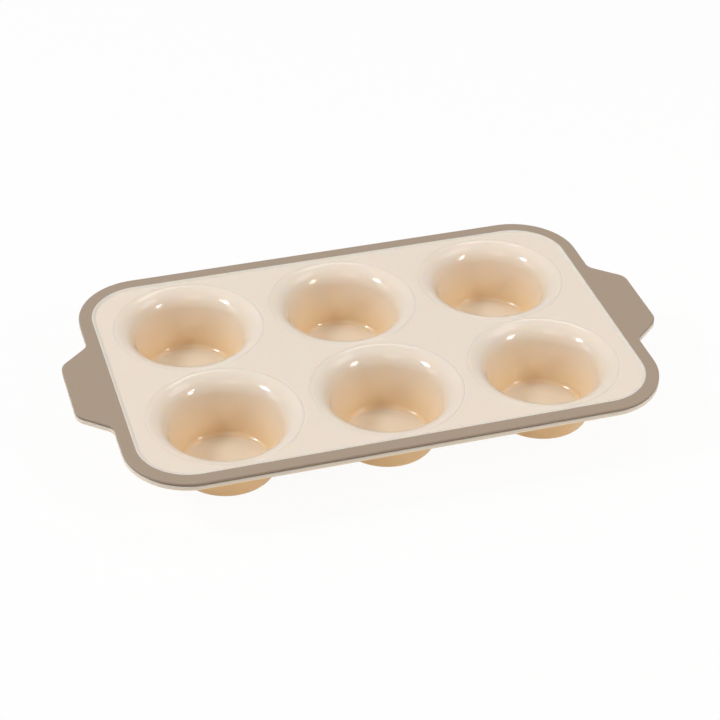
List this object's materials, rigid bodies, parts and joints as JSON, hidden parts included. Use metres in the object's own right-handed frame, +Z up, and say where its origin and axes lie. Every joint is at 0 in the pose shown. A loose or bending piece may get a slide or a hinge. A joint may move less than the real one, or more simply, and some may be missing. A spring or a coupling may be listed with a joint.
{
  "type": "muffin pan",
  "caption": "Silicone muffin pan: a cream tray of round cups in two rows, with a taupe band round its rim and a flat handle tab at each end.",
  "frame": {"origin": "on the table, below the middle of the pan", "axes": "+X along the length of the pan from handle to handle, +Y from the front row of cups to the back row, +Z up out of the cups"},
  "size_m": [0.3324, 0.1908, 0.0358],
  "materials": {
    "cream_silicone": "glossy moulded silicone, slightly translucent",
    "taupe_silicone": "satin moulded silicone"
  },
  "bodies": {
    "root": {"cup_tray": "cream_silicone", "rim_frame": "taupe_silicone"}
  },
  "joints": []
}
